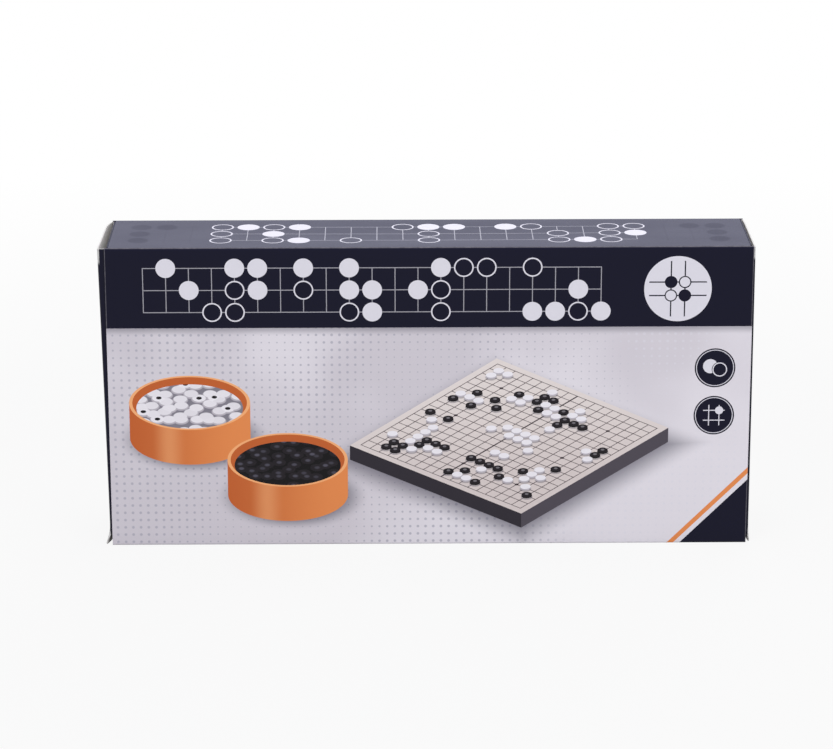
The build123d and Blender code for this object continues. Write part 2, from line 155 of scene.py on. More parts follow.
class Paint:
    """Material that is mixed layer by layer, with places on the surface in millimetres."""

    def __init__(self, name, colour=PRINT_WHITE):
        self.material = bpy.data.materials.new(name)
        self.material.use_nodes = True
        self.tree = self.material.node_tree
        self.shader = self.tree.nodes["Principled BSDF"]
        self.colour = linear(colour)
        self.place = self.node("ShaderNodeTexCoord").outputs["Object"]
        split = self.node("ShaderNodeSeparateXYZ")
        self.feed(split.inputs[0], self.place)
        self.x, self.y, self.z = (Field(self, socket) * PER_METRE for socket in split.outputs)

    def node(self, kind, **settings):
        node = self.tree.nodes.new(kind)
        for key, value in settings.items():
            setattr(node, key, value)
        return node

    def feed(self, socket, value):
        if isinstance(value, Field):
            value = value.socket
        if isinstance(value, bpy.types.NodeSocket):
            self.tree.links.new(value, socket)
        else:
            socket.default_value = value

    def math(self, operation, *values):
        node = self.node("ShaderNodeMath", operation=operation)
        for socket, value in zip(node.inputs, values):
            self.feed(socket, value)
        return Field(self, node.outputs[0])

    def least(self, *values):
        result = values[0]
        for value in values[1:]:
            result = self.math("MINIMUM", result, value)
        return result

    def most(self, *values):
        result = values[0]
        for value in values[1:]:
            result = self.math("MAXIMUM", result, value)
        return result

    def rise(self, value, low, high):
        """0 below low, 1 above high, and smooth between."""
        node = self.node("ShaderNodeMapRange", interpolation_type="SMOOTHSTEP")
        for socket, number in zip(node.inputs, (value, low, high, 0.0, 1.0)):
            self.feed(socket, number)
        return Field(self, node.outputs[0])

    def fall(self, value, low, high):
        """1 below low, 0 above high, and smooth between."""
        return 1.0 - self.rise(value, low, high)

    def below(self, value, limit):
        return self.math("LESS_THAN", value, limit)

    def above(self, value, limit):
        return self.math("GREATER_THAN", value, limit)

    def between(self, value, low, high):
        return self.above(value, low) * self.below(value, high)

    def nearest(self, value):
        """Nearest whole number, and the way from it to the value."""
        whole = self.math("ROUND", value)
        return whole, value - whole

    def length(self, across, up):
        return self.math("SQRT", across * across + up * up)

    def vector(self, *parts):
        node = self.node("ShaderNodeCombineXYZ")
        for socket, part in zip(node.inputs, parts):
            self.feed(socket, part)
        return node.outputs[0]

    def noise(self, size, detail=2.0, roughness=0.5, vector=None):
        """Cloudy noise whose features are about size millimetres wide, or size units of a vector."""
        node = self.node("ShaderNodeTexNoise")
        self.feed(node.inputs["Vector"], vector or self.place)
        node.inputs["Scale"].default_value = 1.0 / size if vector else PER_METRE / size
        node.inputs["Detail"].default_value = detail
        node.inputs["Roughness"].default_value = roughness
        return Field(self, node.outputs[0])

    def chance(self, *parts):
        """Number from 0 to 1 that is fixed at random for each set of parts."""
        node = self.node("ShaderNodeTexWhiteNoise", noise_dimensions="3D")
        self.feed(node.inputs["Vector"], self.vector(*parts))
        return Field(self, node.outputs[0])

    def cells(self, *parts):
        """Distance from the middle of the nearest random cell, and a random number for that cell."""
        node = self.node("ShaderNodeTexVoronoi", voronoi_dimensions="2D")
        self.feed(node.inputs["Vector"], self.vector(*parts))
        node.inputs["Scale"].default_value = 1.0
        node.inputs["Randomness"].default_value = 0.8
        split = self.node("ShaderNodeSeparateColor")
        self.feed(split.inputs[0], node.outputs["Color"])
        return Field(self, node.outputs["Distance"]), Field(self, split.outputs[0])

    def ink(self, colour, mask):
        """Lays a colour over the paint where the mask is 1."""
        node = self.node("ShaderNodeMix", data_type="RGBA")
        self.feed(node.inputs[0], mask)
        self.feed(node.inputs[6], self.colour)
        self.feed(node.inputs[7], colour if isinstance(colour, bpy.types.NodeSocket) else linear(colour))
        self.colour = node.outputs[2]

    def blend(self, low, high, share):
        """Colour between two others."""
        node = self.node("ShaderNodeMix", data_type="RGBA")
        self.feed(node.inputs[0], share)
        self.feed(node.inputs[6], linear(low))
        self.feed(node.inputs[7], linear(high))
        return node.outputs[2]

    def mottle(self, dark, light, size, detail=3.0, roughness=0.5):
        """Covers the paint with a cloudy mix of two colours."""
        self.colour = self.blend(dark, light, self.noise(size, detail, roughness))

    def bump(self, height):
        """Raises the surface by a height in millimetres."""
        node = self.node("ShaderNodeBump")
        node.inputs["Strength"].default_value = 1.0
        node.inputs["Distance"].default_value = MM
        self.feed(node.inputs["Height"], height)
        self.feed(self.shader.inputs["Normal"], node.outputs[0])

    def finish(self, roughness=0.5, **sockets):
        """Feeds the mixed colour and the other sockets to the shader."""
        self.feed(self.shader.inputs["Base Color"], self.colour)
        self.feed(self.shader.inputs["Roughness"], roughness)
        for name, value in sockets.items():
            self.feed(self.shader.inputs[name.replace("_", " ")], value)
        return self.material


# Print

LAMINATE_IOR = 1.26
LAMINATE_ROUGHNESS = 0.2
VARNISH_LEVEL = 0.5
DULL_VARNISH_LEVEL = 0.28
DOT_PITCH = 3.6
GRID_HALF = 9.0
STAR_CELL = 6.0

# Places on the front and the back, to the right of the middle and up from the base
BAND_LOW = 106.0
BAND_MIDDLE = (HEIGHT + BAND_LOW) / 2 - 1.0
BAND_SHADE = 4.0
STRIP_MIDDLE = -26.25
DISC_MIDDLE = 114.0
PAIR_BADGE = (132.0, 86.0)
CROSSING_BADGE = (132.0, 63.0)
CORNER_STRIPE = (111.0, 114.0)
CORNER_FILL = 117.0
FRONT_PICTURES = ((37.0, 53.0), (-111.0, 70.0), (-66.0, 42.0))
BACK_PICTURES = ((-62.0, 53.0), (41.0, 70.0), (88.0, 44.0))

# Place of the faint marks on the top, and heights and reach of the bare corners on the ends
FAINT_MIDDLE = 122.0
LEFT_CORNER = (135.5, 138.0)
RIGHT_CORNER = (137.0, 139.0)
LOW_CORNER = (6.0, 8.0)
LEFT_CORNER_OUT = 2.3
LOW_CORNER_OUT = 0.9
CORNER_DEPTH = 3.0


def laminate(paint, **sockets):
    """Thin gloss film over the print, with the grain and the slight waves of the board under it."""
    grain = paint.noise(1.1, detail=1.0) * 0.004
    waves = paint.noise(16.0, detail=0.0) * 0.12
    paint.bump(grain + waves)
    roughness = LAMINATE_ROUGHNESS + 0.08 * paint.noise(24.0, detail=3.0)
    return paint.finish(roughness, IOR=LAMINATE_IOR, **sockets)


def wear_line(paint, distance, width):
    """Worn ink along an edge, given the distance from it."""
    broken = paint.noise(2.2, detail=4.0, roughness=0.7)
    reach = paint.fall(distance, 0.0, width)
    paint.ink(COATED_WHITE, paint.rise(reach * 0.62 + broken * 0.6, 0.72, 0.86) * 0.75)


def crease_highlight(paint, distance):
    """Painted highlight: a fine pale line along a crease, where the crease catches the light, broken up by
    noise.
    """
    # Strength of the painted highlight, broken up along the crease
    highlight_strength = 0.35 * paint.noise(3.0, detail=4.0, roughness=0.7)
    paint.ink(SILVER_DARK, paint.fall(distance, 0.1, 0.5) * highlight_strength)


def silver_field(paint, across, up):
    """Pale field with clouds of light and a grid of halftone dots, which pale towards the right."""
    dot_soft = 0.06
    cloud = paint.noise(74.0, detail=2.0, roughness=0.45)
    haze = paint.rise(cloud + across * 0.0009, 0.36, 0.66)
    paint.colour = paint.blend(SILVER_DARK, SILVER_LIGHT, haze)
    cell_x = paint.math("FRACT", across / DOT_PITCH) - 0.5
    cell_z = paint.math("FRACT", up / DOT_PITCH) - 0.5
    patch = paint.noise(58.0, detail=1.0)
    radius = 0.08 + 0.1 * paint.rise(patch, 0.36, 0.64)
    dot = paint.fall(paint.length(cell_x, cell_z), radius - dot_soft, radius + dot_soft)
    pale = paint.rise(across + 160.0 * patch, 120.0, 190.0)
    paint.ink(DOT_GREY, dot * (1.0 - pale) * 0.72)
    paint.ink(PRINT_WHITE, dot * pale * 0.55)


def go_grid(paint, u, v, line_half, star_radius):
    """Lines and star points of a go board, for places counted in cells from its middle."""
    from_line = paint.least(*(abs(paint.nearest(place)[1]) for place in (u, v)))
    from_star = paint.length(*(paint.least(abs(place), abs(abs(place) - STAR_CELL)) for place in (u, v)))
    marks = paint.most(paint.below(from_line, line_half), paint.below(from_star, star_radius))
    return marks * paint.below(paint.most(abs(u), abs(v)), GRID_HALF + line_half)


def stone_strip(paint, across, up, pitch, reach, rows, seed):
    """White lines that cross, with filled and open stones on some of their crossings."""
    line_half = 0.2
    row_slack = 0.02
    stone_share = 0.43
    hole_share = 0.37
    row = up / pitch
    at_x, off_x = paint.nearest(across / pitch)
    at_z, off_z = paint.nearest(row)
    side_limit = reach + line_half
    row_limit = (rows - 1) / 2 + row_slack
    on_strip = paint.below(abs(across), side_limit) * paint.below(abs(row), row_limit)
    line = paint.below(paint.least(abs(off_x), abs(off_z)), line_half / pitch)
    paint.ink(PRINT_WHITE, line * on_strip * 0.5)
    on_grid = paint.below(abs(at_x) * pitch, side_limit) * paint.below(abs(at_z), row_limit)
    taken = paint.above(paint.chance(at_x, at_z, seed), 0.52) * on_grid
    full = paint.above(paint.chance(at_x, at_z, seed + 7.0), 0.45)
    spot = paint.length(off_x, off_z)
    disc = paint.below(spot, stone_share)
    hole = paint.below(spot, hole_share) * (1.0 - full)
    paint.ink(NAVY, disc * taken)
    paint.ink(PRINT_WHITE, (disc - hole) * taken)


def faint_stones(paint, across, up):
    """Where a duller varnish makes a faint lattice with soft stones."""
    pitch = 12.0
    line_half = 0.02
    lattice_half = 1.3
    cells_half = 1.1
    column = across / pitch
    row = up / pitch
    at_x, off_x = paint.nearest(column)
    at_z, off_z = paint.nearest(row)
    line = paint.below(paint.least(abs(off_x), abs(off_z)), line_half)
    lattice = line * paint.below(paint.most(abs(column), abs(row)), lattice_half) * 0.5
    inside = paint.below(abs(at_x), cells_half) * paint.below(abs(at_z), cells_half)
    taken = paint.above(paint.chance(at_x, at_z, 12.0), 0.45)
    stone = paint.fall(paint.length(off_x, off_z), 0.34, 0.46)
    return paint.most(lattice, stone * inside * taken)


def board_picture(paint, across, up, middle):
    """Open board drawn from a corner, with its grid, its dark sides and some stones."""
    side_a = (40.0, -17.0)
    side_b = (34.0, 21.0)
    thickness = 7.0
    fold_half = 0.075
    cells_per_half_side = GRID_HALF / 0.93
    right = across - middle[0]
    rise = up - middle[1]
    area = side_a[0] * side_b[1] - side_b[0] * side_a[1]

    def board_place(lift):
        """Place on the board under a point of the picture, for a surface lifted off the board."""
        height = rise - lift
        u = (right * side_b[1] - height * side_b[0]) / area
        v = (height * side_a[0] - right * side_a[1]) / area
        return u, v

    u, v = board_place(0.0)
    low_u, low_v = board_place(-thickness)
    shade_u, shade_v = board_place(-thickness - 1.0)
    paint.ink(SHADOW, paint.fall(paint.most(abs(shade_u), abs(shade_v)), 0.9, 1.32) * 0.8)
    between_ends = paint.below(abs(right), side_a[0] + side_b[0])
    below_far_sides = paint.above(u, -1.0) * paint.below(v, 1.0)
    above_near_sides = paint.below(low_u, 1.0) * paint.above(low_v, -1.0)
    side = between_ends * below_far_sides * above_near_sides
    paint.ink(BOARD_SIDE, side)
    paint.ink(BOARD_SIDE_LIT, side * paint.above(right, side_a[0] - side_b[0]))
    face = paint.below(paint.most(abs(u), abs(v)), 1.0)
    paint.ink(paint.blend(BOARD_BEIGE, BOARD_PALE, paint.rise(v - u, -1.4, 1.4)), face)
    grid_u = u * cells_per_half_side
    grid_v = v * cells_per_half_side
    paint.ink(LINE_BROWN, go_grid(paint, grid_u, grid_v, line_half=0.04, star_radius=0.17))
    paint.ink(LINE_BROWN, paint.below(abs(grid_u), fold_half) * paint.below(abs(grid_v), GRID_HALF))

    def stones(lift, radius):
        """Where stones lie, and which of them are black, on a surface lifted off the board."""
        place_u, place_v = (part * cells_per_half_side for part in board_place(lift))
        at_u, off_u = paint.nearest(place_u)
        at_v, off_v = paint.nearest(place_v)
        group = paint.noise(3.6, detail=0.0, vector=paint.vector(at_u, at_v, 4.0))
        taken = paint.above(group * 0.75 + paint.chance(at_u, at_v, 2.0) * 0.25, 0.56)
        inside = paint.below(paint.most(abs(at_u), abs(at_v)), GRID_HALF - 0.5)
        black = paint.above(paint.chance(at_u, at_v, 9.0), 0.5)
        return paint.below(paint.length(off_u, off_v), radius) * taken * inside, black

    cast, _ = stones(lift=-0.5, radius=0.5)
    paint.ink(SHADOW, cast * 0.5)
    base, black = stones(lift=0.1, radius=0.46)
    paint.ink(STONE_WHITE_EDGE, base)
    paint.ink(STONE_BLACK_EDGE, base * black)
    top, black = stones(lift=0.75, radius=0.45)
    paint.ink(STONE_WHITE, top)
    paint.ink(STONE_BLACK, top * black)
    shine, black = stones(lift=0.95, radius=0.16)
    paint.ink(SILVER_DARK, shine * black * 0.25)


def bowl_picture(paint, across, up, middle, black):
    """Round bowl heaped with stones, drawn from above at a slant."""
    radius = 28.0
    flatness = 0.47
    depth = 17.0
    wall = 1.5
    heap_drop = 2.6
    heap_radius = radius - 2.2 * wall
    stone_width = 6.4
    stone_depth = 3.6
    stone_lift = 0.14
    right = across - middle[0]
    rise = up - middle[1]

    def ring(lift, shift=0.0):
        """Distance from the bowl's axis, or a line beside it, on a level surface at some height."""
        return paint.length(right - shift, (rise - lift) / flatness)

    paint.ink(SHADOW, paint.fall(ring(-depth - 1.0, 2.0), radius * 0.8, radius * 1.3) * 0.75)
    body = paint.most(
        paint.below(ring(-depth), radius),
        paint.below(abs(right), radius) * paint.between(rise, -depth, 0.0),
    )
    side = right / radius
    paint.ink(paint.blend(ORANGE_DARK, ORANGE, paint.rise(side, -1.1, 0.9)), body)
    paint.ink(ORANGE_LIGHT, body * paint.fall(abs(side + 0.35), 0.0, 0.3) * 0.45)
    top = ring(0.0)
    mouth = paint.below(top, radius - wall)
    paint.ink(ORANGE_LIGHT, paint.below(top, radius))
    paint.ink(ORANGE_DARK, mouth)
    heap = paint.below(ring(-heap_drop), heap_radius) * mouth
    cell_x = right / stone_width
    cell_z = rise / stone_depth
    under, tone = paint.cells(cell_x, cell_z, 0.0)
    over, pick = paint.cells(cell_x, cell_z - stone_lift, 0.0)
    face = heap * paint.fall(over, 0.46, 0.52)
    if black:
        paint.ink(STONE_BLACK_EDGE, heap)
        paint.ink(STONE_BLACK, face)
        paint.ink(SHADOW, heap * paint.fall(over, 0.1, 0.26) * (0.3 + 0.5 * pick))
    else:
        paint.ink(STONE_WHITE_EDGE, heap)
        paint.ink(SHADOW, heap * paint.rise(under, 0.52, 0.6) * 0.7)
        paint.ink(STONE_WHITE, face * (0.75 + 0.25 * tone))
        paint.ink(STONE_BLACK, heap * paint.below(over, 0.2) * paint.above(pick, 0.7))


def crossing_disc(paint, across, up):
    """Large white disc with four crossing lines, and a filled or open stone on each crossing."""
    radius = 15.5
    line_reach = 13.6
    line_half = 0.3
    stone_radius = 2.9
    hole_radius = 2.35
    half_pitch = 3.2
    spot = paint.length(across, up)
    paint.ink(PRINT_WHITE, paint.below(spot, radius))
    from_line = paint.least(abs(abs(across) - half_pitch), abs(abs(up) - half_pitch))
    paint.ink(NAVY, paint.below(from_line, line_half) * paint.below(spot, line_reach))
    for x, z, full in ((-1, 1, True), (1, 1, False), (1, -1, True), (-1, -1, False)):
        from_stone = paint.length(across - x * half_pitch, up - z * half_pitch)
        paint.ink(NAVY, paint.below(from_stone, stone_radius))
        if not full:
            paint.ink(PRINT_WHITE, paint.below(from_stone, hole_radius))


def badge_ground(paint, right, rise):
    """Navy disc with a white ring."""
    disc_radius = 9.4
    ring_radii = (8.4, 8.75)
    spot = paint.length(right, rise)
    paint.ink(NAVY, paint.below(spot, disc_radius))
    paint.ink(PRINT_WHITE, paint.between(spot, *ring_radii))


def crossing_badge(paint, right, rise):
    """Badge with crossing bars and a stone on one crossing."""
    half_pitch = 2.4
    bar_half = 0.22
    bar_reach = 5.0
    stone_radius = 1.9
    badge_ground(paint, right, rise)
    from_bar = paint.least(abs(abs(right) - half_pitch), abs(abs(rise) - half_pitch))
    bars = paint.below(from_bar, bar_half) * paint.below(paint.most(abs(right), abs(rise)), bar_reach)
    paint.ink(PRINT_WHITE, bars)
    paint.ink(PRINT_WHITE, paint.below(paint.length(right - half_pitch, rise - half_pitch), stone_radius))


def pair_badge(paint, right, rise):
    """Badge with a filled stone partly under an open one."""
    shift = 2.2
    drop = 0.8
    stone_radius = 3.4
    hole_radius = 2.9
    gap = 0.3
    badge_ground(paint, right, rise)
    paint.ink(PRINT_WHITE, paint.below(paint.length(right + shift, rise - drop), stone_radius))
    from_open = paint.length(right - shift, rise + drop)
    paint.ink(NAVY, paint.below(from_open, stone_radius + gap))
    paint.ink(PRINT_WHITE, paint.between(from_open, hole_radius, stone_radius))


def main_print(name, facing, pictures):
    """Print of the front or back panel: a navy band over a pale field with pictures."""
    board, white_bowl, black_bowl = pictures
    paint = Paint(name)
    across = paint.x * facing
    up = paint.z
    silver_field(paint, across, up)
    corner = across - up
    paint.ink(ORANGE, paint.between(corner, *CORNER_STRIPE))
    paint.ink(NAVY, paint.above(corner, CORNER_FILL))
    board_picture(paint, across, up, board)
    bowl_picture(paint, across, up, white_bowl, False)
    bowl_picture(paint, across, up, black_bowl, True)
    pair_badge(paint, across - PAIR_BADGE[0], up - PAIR_BADGE[1])
    crossing_badge(paint, across - CROSSING_BADGE[0], up - CROSSING_BADGE[1])
    paint.ink(SHADOW, paint.rise(up, BAND_LOW - BAND_SHADE, BAND_LOW) * 0.5)
    paint.ink(NAVY, paint.above(up, BAND_LOW))
    stone_strip(paint, across - STRIP_MIDDLE, up - BAND_MIDDLE, pitch=10.5, reach=105.0, rows=3, seed=3.0)
    crossing_disc(paint, across - DISC_MIDDLE, up - BAND_MIDDLE)
    # Painted highlights along the side creases and along the top crease
    crease_highlight(paint, FRONT_REACH - abs(paint.x))
    crease_highlight(paint, HEIGHT - up)
    return laminate(paint)


def top_print():
    """Navy top with a strip of stones, and faint marks in the varnish near its ends."""
    paint = Paint("top_print", NAVY)
    stone_strip(paint, paint.x, paint.y, pitch=12.0, reach=96.0, rows=3, seed=5.0)
    dull = faint_stones(paint, abs(paint.x) - FAINT_MIDDLE, paint.y)
    level = VARNISH_LEVEL - (VARNISH_LEVEL - DULL_VARNISH_LEVEL) * dull
    return laminate(paint, Specular_IOR_Level=level)


def base_print():
    """Pale dotted field of the bottom panel."""
    paint = Paint("base_print")
    silver_field(paint, paint.x, paint.y)
    wear_line(paint, TOP_REACH - abs(paint.x), width=1.0)
    return laminate(paint)


def end_print():
    """Navy ends with a strip of stones, worn bare along their edges and at their front corners."""
    paint = Paint("end_print", NAVY)
    stone_strip(paint, paint.y, paint.z - HEIGHT / 2, pitch=11.0, reach=11.0, rows=5, seed=8.0)
    wear_line(paint, paint.least(paint.z, HEIGHT - paint.z), width=0.9)
    left = paint.rise(paint.z, *LEFT_CORNER) * paint.below(paint.x, -HINGE_REACH - LEFT_CORNER_OUT)
    right = paint.rise(paint.z, *RIGHT_CORNER) * paint.above(paint.x, HINGE_REACH)
    low = paint.fall(paint.z, *LOW_CORNER) * paint.above(abs(paint.x), HINGE_REACH + LOW_CORNER_OUT)
    corners = paint.most(left, right, low) * paint.below(paint.y, FRONT_Y + CORNER_DEPTH)
    paint.ink(COATED_WHITE, corners * (0.55 + 0.5 * paint.noise(1.6, detail=3.0)))
    return laminate(paint)


def bare_board():
    """Grey unprinted inside of the board, with its fibres."""
    paint = Paint("bare_board")
    paint.mottle(BARE_GREY, BARE_LIGHT, 0.9, detail=4.0, roughness=0.7)
    paint.ink(FIBRE_BROWN, paint.above(paint.noise(0.5, detail=2.0), 0.68) * 0.3)
    paint.bump(paint.noise(0.6, detail=3.0) * 0.03)
    return paint.finish(0.9)


def cut_edge():
    """Cut edge of the board, with its grey and white plies mixed."""
    paint = Paint("cut_edge")
    paint.mottle(BARE_GREY, COATED_WHITE, 0.5, roughness=0.7)
    paint.bump(paint.noise(0.3, detail=2.0) * 0.05)
    return paint.finish(0.95)


def coated_board():
    """White coated outside of the flaps, with a bleed of navy print at their creases."""
    bleed = 1.6
    paint = Paint("coated_board")
    paint.mottle(COATED_WHITE, COATED_DULL, 8.0)
    paint.ink(NAVY, paint.below(paint.least(paint.z, HEIGHT - paint.z), bleed))
    paint.bump(paint.noise(0.8, detail=2.0) * 0.01)
    return paint.finish(0.35, IOR=LAMINATE_IOR)


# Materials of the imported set

PLATE_PITCH = 14.5


def tray_plastic():
    """Black moulded plastic with a fine spark texture."""
    paint = Paint("tray_plastic")
    paint.mottle(*TRAY_TONES, 14.0)
    paint.bump(paint.noise(0.35, detail=2.0) * 0.03)
    return paint.finish(0.45 + 0.12 * paint.noise(3.0, detail=3.0))


def plate_print():
    """Beige painted steel with the dark grid of the playing surface, whose middle line is the fold."""
    fold_z = corner_mm("rear_playing_plate", True).z
    paint = Paint("plate_print")
    paint.mottle(BOARD_BEIGE, BOARD_PALE, 30.0)
    column = paint.x / PLATE_PITCH
    row = (fold_z - paint.z) / PLATE_PITCH
    paint.ink(LINE_BROWN, go_grid(paint, column, row, line_half=0.026, star_radius=0.13))
    paint.bump(paint.noise(0.9, detail=1.0) * 0.006)
    return paint.finish(0.42)


def moulded(name, tones, roughness):
    """Smooth moulded plastic with faint flow marks."""
    paint = Paint(name)
    paint.mottle(*tones, 22.0, roughness=0.6)
    paint.bump(paint.noise(1.6, detail=1.0) * 0.006)
    return paint.finish(roughness + 0.08 * paint.noise(5.0, detail=3.0))


def metal(name, tones, roughness):
    """Drawn or pressed metal with fine marks."""
    paint = Paint(name)
    paint.mottle(*tones, 1.5, detail=4.0, roughness=0.7)
    paint.bump(paint.noise(0.4, detail=2.0) * 0.01)
    return paint.finish(roughness, Metallic=1.0)


def leaflet_paper():
    """Thin white paper with a soft tone."""
    paint = Paint("leaflet_paper")
    paint.mottle(*PAPER_TONES, 4.0, detail=4.0)
    paint.bump(paint.noise(0.7, detail=3.0) * 0.015)
    return paint.finish(0.8)


# Sheets of the carton

PRINT_SIDE, BARE_SIDE, CUT_SIDE = range(3)
CREASED = (PRINT_SIDE, PRINT_SIDE, PRINT_SIDE, PRINT_SIDE)
SHEET_SHARP_DEG = 50.0


def add_piece(name, mesh, sharp_deg, body, node):
    """Smooth piece that rides on a body in place of a node of the frame."""
    mesh.polygons.foreach_set("use_smooth", [True] * len(mesh.polygons))
    mesh.set_sharp_from_angle(angle=radians(sharp_deg))
    piece = bpy.data.objects.new(name, mesh)
    bpy.context.scene.collection.objects.link(piece)
    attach(piece, body)
    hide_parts(node)


def sheet(name, rows, materials, rims, body, node):
    """Closed sheet of board round a grid of points, printed on the side to which columns x rows point.

    Its materials are those of the print, the bare side and the cut edges. Its rims are the sides shown along
    the first row, the last column, the last row and the first column.
    """
    row_count = len(rows)
    column_count = len(rows[0])

    def normal(i, j):
        along = rows[i][min(j + 1, column_count - 1)] - rows[i][max(j - 1, 0)]
        up = rows[min(i + 1, row_count - 1)][j] - rows[max(i - 1, 0)][j]
        return along.cross(up).normalized()

    outer = []
    inner = []
    for i in range(row_count):
        for j in range(column_count):
            step = normal(i, j) * (SHEET / 2)
            outer.append((rows[i][j] + step) * MM)
            inner.append((rows[i][j] - step) * MM)
    total = row_count * column_count
    faces = []
    kinds = []
    for i in range(row_count - 1):
        for j in range(column_count - 1):
            a = i * column_count + j
            quad = (a, a + 1, a + 1 + column_count, a + column_count)
            faces.append(quad)
            kinds.append(PRINT_SIDE)
            faces.append(tuple(total + k for k in reversed(quad)))
            kinds.append(BARE_SIDE)
    borders = (
        list(range(column_count)),
        [i * column_count + column_count - 1 for i in range(row_count)],
        [(row_count - 1) * column_count + j for j in reversed(range(column_count))],
        [i * column_count for i in reversed(range(row_count))],
    )
    for border, kind in zip(borders, rims):
        for a, b in zip(border, border[1:]):
            faces.append((b, a, total + a, total + b))
            kinds.append(kind)
    mesh = bpy.data.meshes.new(name)
    mesh.from_pydata(outer + inner, [], faces)
    mesh.polygons.foreach_set("material_index", kinds)
    for material in materials:
        mesh.materials.append(material)
    add_piece(name, mesh, SHEET_SHARP_DEG, body, node)


def spread(low, high, count):
    """Evenly spaced numbers from low to high."""
    return [low + (high - low) * k / (count - 1) for k in range(count)]


def quarter(middle, radius, start_deg, count=7):
    """Points of a quarter circle in the plane of depth and height."""
    return [
        (middle[0] + radius * cos(radians(a)), middle[1] + radius * sin(radians(a)))
        for a in spread(start_deg, start_deg - 90.0, count)
    ]


MID_RADIUS = CREASE_RADIUS - SHEET / 2
PANEL_STEPS = 25
LENGTH_STEPS = 61


def panel_rows(profile, reach, warp):
    """Grid of a panel: a profile of depths and heights, carried along X, and moved by a warp."""
    return [
        [Vector((x, y, z)) + warp(x, y, z) for x in spread(-reach, reach, LENGTH_STEPS)]
        for y, z in profile
    ]


def front_profile():
    """From the bottom crease up to the top crease, through the front."""
    low = quarter((FRONT_Y + CREASE_RADIUS, CREASE_RADIUS), MID_RADIUS, 270.0)
    high = quarter((FRONT_Y + CREASE_RADIUS, HEIGHT - CREASE_RADIUS), MID_RADIUS, 180.0)
    heights = spread(CREASE_RADIUS, HEIGHT - CREASE_RADIUS, PANEL_STEPS)[1:-1]
    return low + [(FRONT_Y + SHEET / 2, z) for z in heights] + high


def back_profile():
    """From the top crease down the back to its cut lower edge."""
    high = quarter((BACK_Y - CREASE_RADIUS, HEIGHT - CREASE_RADIUS), MID_RADIUS, 90.0)
    heights = spread(HEIGHT - CREASE_RADIUS, 0.0, PANEL_STEPS)[1:]
    return high + [(BACK_Y - SHEET / 2, z) for z in heights]


def top_profile():
    """Top panel from its front crease to its back crease."""
    depths = spread(FRONT_Y + CREASE_RADIUS, BACK_Y - CREASE_RADIUS, PANEL_STEPS)
    return [(y, HEIGHT - SHEET / 2) for y in depths]


def bottom_profile():
    """Bottom panel from its back crease to its front crease."""
    depths = spread(GLUE_Y - CREASE_RADIUS, FRONT_Y + CREASE_RADIUS, PANEL_STEPS)
    return [(y, SHEET / 2) for y in depths]


def hump(value, low, high):
    """1 in the middle of a span, and 0 with no slope at its ends."""
    share = min(max((value - low) / (high - low), 0.0), 1.0)
    return sin(pi * share) ** 2


# Slight swell of the front and the back, and sag of the top
PANEL_SWELL = 0.25
TOP_SAG = 0.35


def front_warp(x, y, z):
    return Vector((0.0, -PANEL_SWELL * hump(z, 0.0, HEIGHT) * hump(x, -FRONT_REACH, FRONT_REACH), 0.0))


def back_warp(x, y, z):
    return Vector((0.0, PANEL_SWELL * hump(z, 0.0, HEIGHT) * hump(x, -BACK_REACH, BACK_REACH), 0.0))


def top_warp(x, y, z):
    return Vector((0.0, 0.0, -TOP_SAG * hump(y, FRONT_Y, BACK_Y) * hump(x, -TOP_REACH, TOP_REACH)))


def no_warp(x, y, z):
    return Vector((0.0, 0.0, 0.0))


bare = bare_board()
edge = cut_edge()
front_print = main_print("front_print", 1.0, FRONT_PICTURES)
back_print = main_print("back_print", -1.0, BACK_PICTURES)
sheet("front_sheet", panel_rows(front_profile(), FRONT_REACH, front_warp),
      (front_print, bare, edge), CREASED, "carton", "front_panel")
sheet("back_sheet", panel_rows(back_profile(), BACK_REACH, back_warp),
      (back_print, bare, edge), (PRINT_SIDE, PRINT_SIDE, CUT_SIDE, PRINT_SIDE),
      "carton", "back_panel")
sheet("top_sheet", panel_rows(top_profile(), TOP_REACH, top_warp),
      (top_print(), bare, edge), CREASED, "carton", "top_panel")
sheet("bottom_sheet", panel_rows(bottom_profile(), TOP_REACH, no_warp),
      (base_print(), bare, edge), CREASED, "carton", "bottom_panel")

# End panels with their tuck tabs

END_LOW, END_HIGH = (corner_mm("left_end_panel", high).z for high in (False, True))
END_STEPS = 61
HINGE_INSET = 1.0
HINGE_Y = FRONT_Y + HINGE_INSET
TUCK_GAP = 0.6
TUCK_Y = BACK_Y - SHEET - TUCK_GAP - SHEET / 2
TUCK_LENGTH = 14.0
TUCK_LEAN = 7.0
TUCK_INSET = 1.5
TUCK_CORNER = 8.0
TUCK_BEND = 0.8
TAB_START = 0.4
LAST_CORNER_DEG = 88.0
TURN_RADIUS = 1.1
TURN_SHARE = 0.8
STRAIGHT_DEPTH = 38.0
STRAIGHT_LEAN = 0.26
TUCK_PULL = 0.55
SLIT_HEIGHT = 5.0
CURL_HEIGHT = 8.5
CURL_DEPTH = 9.0
CURL_POWER = 1.3
FLARE_POWER = 1.5
LEFT_CURL = 2.4
RIGHT_CURL = 0.8

# How far each end stands off its crease at its foot, how much more at its top, and the power of the change
LEFT_STANDOFF = (0.7, 2.3, 1.15)
RIGHT_STANDOFF = (0.85, -0.45, 1.5)


